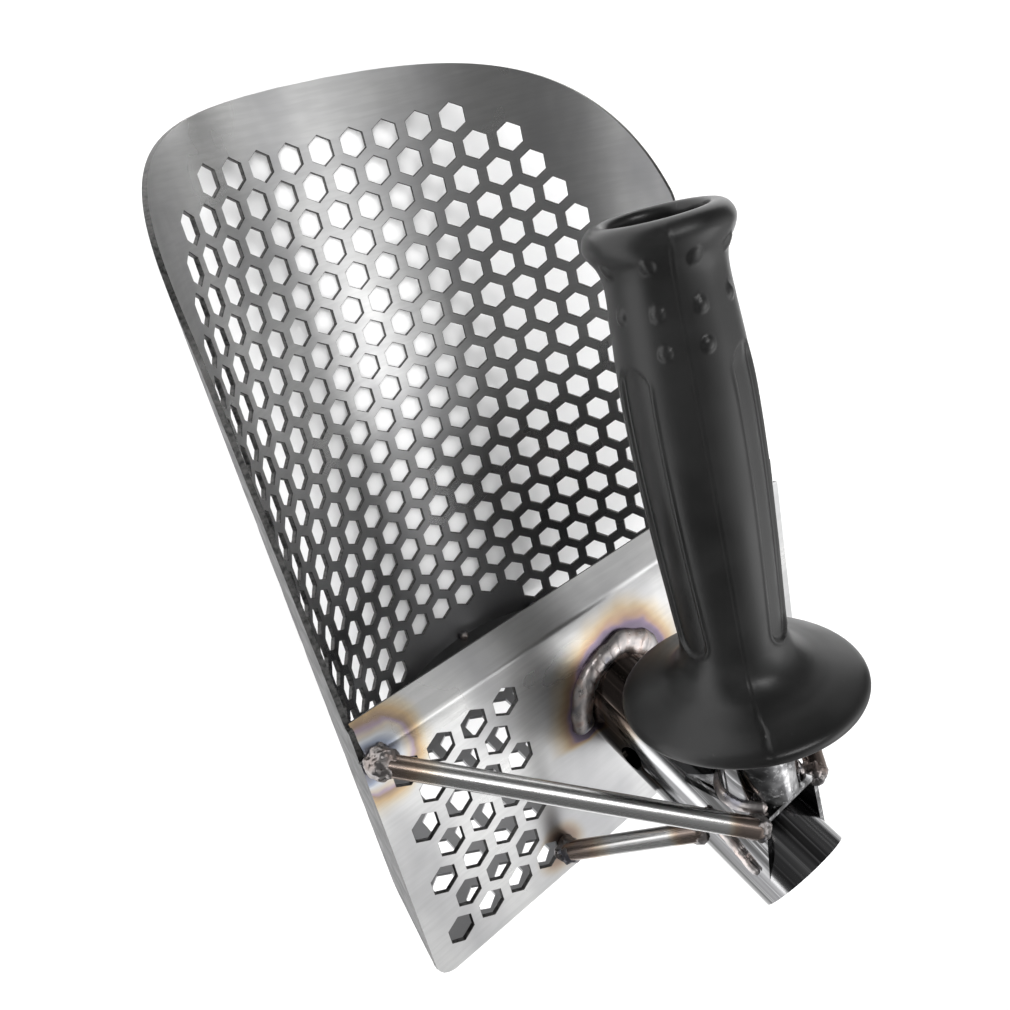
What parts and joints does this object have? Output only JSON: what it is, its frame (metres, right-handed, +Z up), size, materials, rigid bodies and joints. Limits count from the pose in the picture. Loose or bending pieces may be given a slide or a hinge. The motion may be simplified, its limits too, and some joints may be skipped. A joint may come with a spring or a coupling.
{
  "type": "sand scoop",
  "caption": "Hand scoop for metal detecting: perforated steel basket with a lid, a braced socket arm for a shaft and a moulded hand grip.",
  "frame": {"origin": "on the worn flat along the belly, under the middle of the basket's length and width", "axes": "+Z up out of the open basket, +Y towards the cutting lip, +X to the side"},
  "size_m": [0.175, 0.24, 0.1759],
  "materials": {
    "brushed_sheet": "satin stainless sheet",
    "polished_tube": "mirror polished stainless tube",
    "rod": "drawn stainless rod",
    "weld_bead": "rough weld bead",
    "grip": "satin black moulded plastic"
  },
  "bodies": {
    "root": {"basket_shell": "brushed_sheet", "rear_wall": "brushed_sheet", "back_lid": "brushed_sheet", "socket_tube": "polished_tube", "stem_bracket": "polished_tube", "handle_stem": "polished_tube", "brace_rod_left": "rod", "brace_rod_right": "rod", "rear_brace_left": "rod", "rear_brace_right": "rod", "lid_seam_left": "weld_bead", "lid_seam_right": "weld_bead", "rear_tack_welds": "weld_bead", "socket_weld": "weld_bead", "bracket_weld_left": "weld_bead", "bracket_weld_right": "weld_bead", "stem_weld": "weld_bead", "brace_foot_weld_left": "weld_bead", "brace_foot_weld_right": "weld_bead", "brace_top_weld_left": "weld_bead", "brace_top_weld_right": "weld_bead", "rear_brace_foot_weld_left": "weld_bead", "rear_brace_foot_weld_right": "weld_bead", "rear_brace_top_weld_left": "weld_bead", "rear_brace_top_weld_right": "weld_bead", "hand_grip": "grip"}
  },
  "joints": []
}
